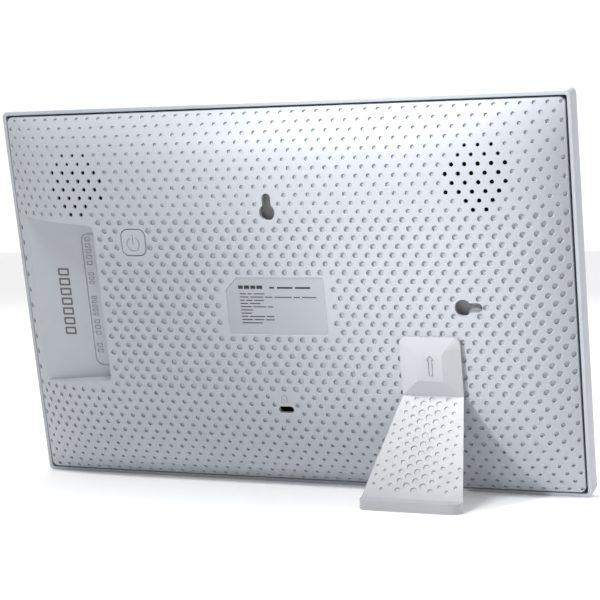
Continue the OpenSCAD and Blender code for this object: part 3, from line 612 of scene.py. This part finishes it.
HOLE_R_TOP, HOLE_R, HOLE_DEPTH = 0.78, 0.92, 4.5
pits = Solids()
for row in range(45):
    z = (22 - row) * LATTICE_Z
    for k in range(47):
        c = (-45.5 if row % 2 == 0 else -46.5) + 2 * k
        x = -c * LATTICE_X
        if left_plain(x, z, row, c):
            continue
        centre, normal = Vector((x, dome_y(x, z), z)), dome_normal(x, z)
        if (row, c) in holes:
            r = HOLE_R_TOP if row < 6 else HOLE_R
            pits.rings(centre, normal, [(-HOLE_DEPTH, r), (-0.08, r), (0.3, r + 0.38)], PIT_SIDES)
        else:
            r, deep = dimple(row)
            pits.rings(centre, normal, [(-deep, r - 0.16), (-0.1, r - 0.04), (0.25, r + 0.31)], PIT_SIDES)
cover = boolean(cover, pits)

# ---------------------------------------------------------------- engraved lines on the cover
marks = Solids()
STRIP_X, STRIP_Z, STRIP_R = POCKET_X + 10.85, 30.2, 3.2
STRIP_START, STRIP_LINE, STRIP_DEPTH = POCKET_X + 3, 0.62, 0.5
marks.stroke([(STRIP_START, STRIP_Z)] + arc(STRIP_X - STRIP_R, STRIP_Z - STRIP_R, STRIP_R, 90, 0, 8)
             + arc(STRIP_X - STRIP_R, STRIP_R - STRIP_Z, STRIP_R, 0, -90, 8) + [(STRIP_START, -STRIP_Z)],
             STRIP_LINE, POCKET_FLOOR - STRIP_DEPTH, POCKET_FLOOR + 1)

# Each port's name is a row of plain hollow blocks: from z, to z, how many
PORT_NAMES = ((29.0, 15.6, 5), (13.0, 6.9, 3), (1.9, -7.6, 5), (-8.8, -16.6, 3), (-20.0, -25.0, 2))
BLOCK_W, BLOCK_LINE, BLOCK_FILL, BLOCK_DEPTH = 2.9, 0.5, 0.74, 0.42
for top, low, blocks in PORT_NAMES:
    pitch = (top - low) / blocks
    length = pitch * BLOCK_FILL
    for k in range(blocks):
        at = (STRIP_X - 2.75, top - pitch * (k + 0.5))
        marks.band(moved(rounded_box(BLOCK_W, length, 0.3, 3), *at),
                   moved(rounded_box(BLOCK_W - 2 * BLOCK_LINE, length - 2 * BLOCK_LINE, 0.12, 3), *at),
                   POCKET_FLOOR - BLOCK_DEPTH, POCKET_FLOOR + 1)

# Padlock outline above the lock slot
pad_x, pad_z, pad_y = MID_X + 0.4, LOCK_Z + 3.0, dome_y(0, LOCK_Z + 4)
body = [(-1.7, 0.0), (1.7, 0.0)] + arc(0, 2.2, 1.4, 0, 180, 14)
hollow = [(-1.32, 0.34), (1.32, 0.34)] + arc(0, 2.2, 1.06, 0, 180, 14)
marks.band(moved(body, pad_x, pad_z), moved(hollow, pad_x, pad_z), pad_y - 0.28, pad_y + 1)
marks.loft([(moved(circle(0.42, 12), pad_x, pad_z + 1.25), y) for y in (pad_y - 0.28, pad_y + 1)])
cover = boolean(cover, marks)
cover_shell = show("cover_shell", cover, "frame", housing, 24)
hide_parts("back_cover")

# Print on the pocket's floor: seven plain hollow blocks in a column
blocks_on_floor = Solids()
FLOOR_PRINT_X, FLOOR_PRINT_TOP, FLOOR_PRINT_PITCH = 104.5, 15.0, 4.55
FLOOR_PRINT_W, FLOOR_PRINT_H, FLOOR_PRINT_LINE = 5.6, 3.5, 1.7
for k in range(7):
    at = (FLOOR_PRINT_X, FLOOR_PRINT_TOP - FLOOR_PRINT_PITCH * (k + 0.5))
    outer_box = rounded_box(FLOOR_PRINT_W, FLOOR_PRINT_H, 0.5, 3)
    inner_box = rounded_box(FLOOR_PRINT_W - FLOOR_PRINT_LINE, FLOOR_PRINT_H - FLOOR_PRINT_LINE, 0.2, 3)
    blocks_on_floor.band(moved(outer_box, *at), moved(inner_box, *at),
                         POCKET_FLOOR - 0.04, POCKET_FLOOR + 0.03)
show("pocket_print", blocks_on_floor.mesh("pocket_print"), "frame", floor_print_mat)

# Greeked print on the label: plain bars, a heading and columns of lines
bars = Solids()
face = DOME - LABEL_DEPTH + 0.15


def bar(x0, x1, z, h):
    """Left and right ends counted from the label's photo-left edge."""
    left = MID_X + LABEL_W / 2
    outline = [(left - x1, z - h / 2), (left - x0, z - h / 2),
               (left - x0, z + h / 2), (left - x1, z + h / 2)]
    bars.loft([(outline, y) for y in (face - 0.04, face + 0.02)])


for x0, x1 in ((6.0, 8.2), (8.7, 11.2), (11.7, 14.0), (14.5, 17.2)):
    bar(x0, x1, 8.3, 1.5)
for x0, x1 in ((20.5, 22.6), (24.0, 31.0), (32.2, 39.0)):
    bar(x0, x1, 8.1, 0.8)
line_z = 5.4
for width in ([3, 2, 5.0], [4, 6, 3.5, 8, 3, 6.5], [2, 3, 4.5], [3.5, 5], [5, 6, 2.5], [5.5], [4.8],
              [3, 7, 3.5], [5, 4.5, 4], [9.5]):
    x0 = 6.4
    for w in width:
        bar(x0, x0 + w, line_z, 0.42)
        x0 += w + 0.8
    line_z -= 1.42
show("label_print", bars.mesh("label_print"), "frame", print_mat)


# ---------------------------------------------------------------- bezel ring
def ring_outline(inset, radius):
    return rounded_box(FRAME_W - 2 * inset, FRAME_H - 2 * inset, radius, 8)


# Sections of the ring: inset from the frame's outline, y, corner radius
profile = [(0.45, 0.0, 2.1), (0.13, -0.13, 2.4), (0.0, -0.45, 2.5), (0.0, -9.1, 2.5), (0.2, -9.7, 2.3),
           (0.8, -10.0, 1.9), (10.5, -10.0, 2.5), (10.8, -9.8, 2.2), (10.8, -8.75, 2.2), (18.8, -8.75, 1.0),
           (18.8, -7.6, 1.0), (2.0, -7.6, 1.0), (2.0, -4.4, 1.0), (1.7, -4.2, 1.1), (1.7, -0.2, 1.1),
           (1.5, 0.0, 1.3)]
ring = Solids()
count = len(ring_outline(0, 2.5))
for inset, y, radius in profile:
    ring.verts += [(x, y, z) for x, z in ring_outline(inset, radius)]
for s in range(len(profile)):
    t = (s + 1) % len(profile)
    ring.faces += [(s * count + k, s * count + (k + 1) % count, t * count + (k + 1) % count, t * count + k)
                   for k in range(count)]
bezel = ring.mesh("bezel_ring")
bezel.transform(SEAT)
for v in bezel.vertices:
    v.co.z = max(v.co.z, 0.0)
bezel_ring = show("bezel_ring", bezel, "frame", housing, 35, to_frame=False)
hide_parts("front_bezel")

# ---------------------------------------------------------------- power button
cap = Solids()
cap.loft([(moved(rounded_box(BUTTON_W - 2 * g, BUTTON_W - 2 * g, BUTTON_R - g), BUTTON_X, BUTTON_Z), y)
          for g, y in ((0, 10.9), (0, DOME - 0.5), (0.12, DOME - 0.22), (0.4, DOME - 0.05))])
flange_w = BUTTON_W + 2.4
flange_outline = moved(rounded_box(flange_w, flange_w, BUTTON_R + 1), BUTTON_X, BUTTON_Z)
flange = Solids().loft([(flange_outline, y) for y in (10.7, 11.85)])
flange.rings(Vector((BUTTON_X, 10.3, BUTTON_Z)), (0, 1, 0), [(0, 2.2), (0.39, 2.2)], 24)
cap_mesh = boolean(cap.mesh("power_cap"), flange, "UNION")
power = Solids()
SIGN_LINE, SIGN_LOW, SIGN_HIGH = 0.5, DOME - 0.4, DOME + 1
power.stroke(arc(BUTTON_X, BUTTON_Z - 0.6, 2.95, 120, 420, 40), SIGN_LINE, SIGN_LOW, SIGN_HIGH)
power.stroke([(BUTTON_X, BUTTON_Z + 3.5), (BUTTON_X, BUTTON_Z - 0.7)], SIGN_LINE, SIGN_LOW, SIGN_HIGH)
cap_mesh = boolean(cap_mesh, power)
power_cap = show("power_cap", cap_mesh, "power_key", housing, 28)
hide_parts("power_button")


# ---------------------------------------------------------------- stand
def welded(node):
    """A closed copy of a CAD node's mesh, in upright mm."""
    me = nodes[node].data.copy()
    me.transform(SEAT.inverted())
    bm = bmesh.new()
    bm.from_mesh(me)
    bmesh.ops.remove_doubles(bm, verts=bm.verts, dist=0.002)
    bmesh.ops.dissolve_limit(bm, angle_limit=math.radians(0.5), verts=bm.verts, edges=bm.edges)
    bmesh.ops.recalc_face_normals(bm, faces=bm.faces)
    bm.to_mesh(me)
    bm.free()
    return me


leg_dir = Vector((0, math.sin(LEG_ANGLE), -math.cos(LEG_ANGLE)))
leg_out = Vector((0, math.cos(LEG_ANGLE), math.sin(LEG_ANGLE)))
root = Vector((-STAND_X, HEAD_Y, HEAD_Z0))
LEG_ROWS, LEG_COLUMNS, LEG_PITCH_X, LEG_PITCH = 21, 5, 3.435, 2.119
LEG_START, LEG_HALF, LEG_FLARE, LEG_MARGIN = 1.56, 13.1, 0.17, 0.6
LEG_PIT_R = (1.35, 1.35, 1.0, 0.8, 0.68, 0.68)
leg_pits = Solids()
for row in range(LEG_ROWS):
    along = LEG_START + LEG_PITCH * row
    half = LEG_HALF + LEG_FLARE * along
    for k in range(-LEG_COLUMNS, LEG_COLUMNS + 1):
        if (k + row) % 2 == 1:
            continue
        dx = k * LEG_PITCH_X
        r = LEG_PIT_R[abs(k)]
        if abs(dx) + r + LEG_MARGIN > half:
            continue
        p = root + leg_dir * along + Vector((dx, 0, 0))
        leg_pits.rings(p, leg_out, [(-0.5, r - 0.2), (-0.1, r - 0.04), (0.25, r + 0.31)], PIT_SIDES)
arrow = [(0, 5.3), (1.75, 3.2), (0.95, 3.2), (0.95, -3.6), (-0.95, -3.6), (-0.95, 3.2), (-1.75, 3.2)]
arrow_in = [(0, 4.7), (1.1, 3.5), (0.6, 3.5), (0.6, -3.3), (-0.6, -3.3), (-0.6, 3.5), (-1.1, 3.5)]
ax, az, ay = -STAND_X - 0.5, -24.4, HEAD_Y + CROWN_H
leg_pits.band(moved(arrow, ax, az), moved(arrow_in, ax, az), ay - 0.45, ay + 1)
stand_mesh = boolean(welded("stand"), leg_pits)
stand_body = show("stand_body", stand_mesh, "back_stand", stand_mat, 12)
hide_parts("stand")

# ---------------------------------------------------------------- studio
bpy.context.scene.view_settings.view_transform = "Standard"
world = bpy.data.worlds.new("studio")
bpy.context.scene.world = world
world.use_nodes = True
wt = world.node_tree
where = wt.nodes.new("ShaderNodeTexCoord")
split = wt.nodes.new("ShaderNodeSeparateXYZ")
wt.links.new(where.outputs["Generated"], split.inputs["Vector"])


def fade(axis, start, end, low, high):
    """World strength that runs from low to high along an axis of the room."""
    n = wt.nodes.new("ShaderNodeMapRange")
    n.inputs["From Min"].default_value, n.inputs["From Max"].default_value = start, end
    n.inputs["To Min"].default_value, n.inputs["To Max"].default_value = low, high
    wt.links.new(split.outputs[axis], n.inputs["Value"])
    return n.outputs["Result"]


# White behind the frame, darker on the camera's side, with some light from above
strength = wt.nodes.new("ShaderNodeMath")
strength.operation = "ADD"
wt.links.new(fade("Y", -0.2, 0.1, 1.05, 0.2), strength.inputs[0])
wt.links.new(fade("Z", 0.0, 1.0, 0.0, 0.28), strength.inputs[1])
wt.links.new(strength.outputs[0], wt.nodes["Background"].inputs["Strength"])
wt.nodes["Background"].inputs["Color"].default_value = (1, 1, 1, 1)

floor_me = Solids().box((-6000, -60, -6000), (6000, 0, 6000)).mesh("floor")
floor_me.transform(Matrix.Rotation(math.radians(90), 4, "X") @ Matrix.Scale(MM, 4))
floor = bpy.data.objects.new("floor", floor_me)
bpy.context.scene.collection.objects.link(floor)
floor_top = max((floor.matrix_world @ v.co).z for v in floor_me.vertices)
floor.location.z = -floor_top
floor_mat, ft, fb, fco = shader("floor", Roughness=0.8, Emission_Color=(1, 1, 1, 1), Emission_Strength=0.12)
ft.links.new(ramp(ft, noise(ft, fco, 3, 2), [(0.3, (0.93, 0.93, 0.93)), (0.7, (0.95, 0.95, 0.95))]),
             fb.inputs["Base Color"])
floor_me.materials.append(floor_mat)


def lamp(name, kind, place, aim, watts):
    light = bpy.data.lights.new(name, kind)
    light.energy = watts
    o = bpy.data.objects.new(name, light)
    bpy.context.scene.collection.objects.link(o)
    o.location = place
    o.rotation_mode = "QUATERNION"
    o.rotation_quaternion = (Vector(aim) - Vector(place)).to_track_quat("-Z", "Y")
    return light


lamp("top", "AREA", (0.02, 0.16, 0.42), (0.02, 0.0, 0.14), 0.95).size = 0.1
lamp("front", "AREA", (0.5, -1.2, 1.1), (0.0, 0.0, 0.1), 5.0).size = 0.8
KEY_PLACE = (0.42, 0.75, 0.52)
for name, aim, degrees, watts in (("key", (-0.10, 0.0, 0.12), 16, 25.5),
                                  ("key_core", (-0.10, 0.0, 0.08), 11, 14.0)):
    spot = lamp(name, "SPOT", KEY_PLACE, aim, watts)
    spot.shadow_soft_size = 0.04
    spot.spot_size, spot.spot_blend = math.radians(degrees), 1.0

cam = bpy.data.objects.new("camera", bpy.data.cameras.new("camera"))
bpy.context.scene.collection.objects.link(cam)
bpy.context.scene.camera = cam
cam.data.lens, cam.data.sensor_width = 102.11, 36
cam.data.clip_start, cam.data.clip_end = 0.05, 50
cam.location = Vector((-284.77, 666.56, 113.69)) * MM
cam.rotation_euler = [math.radians(a) for a in (87.477, 0.526, -157.575)]
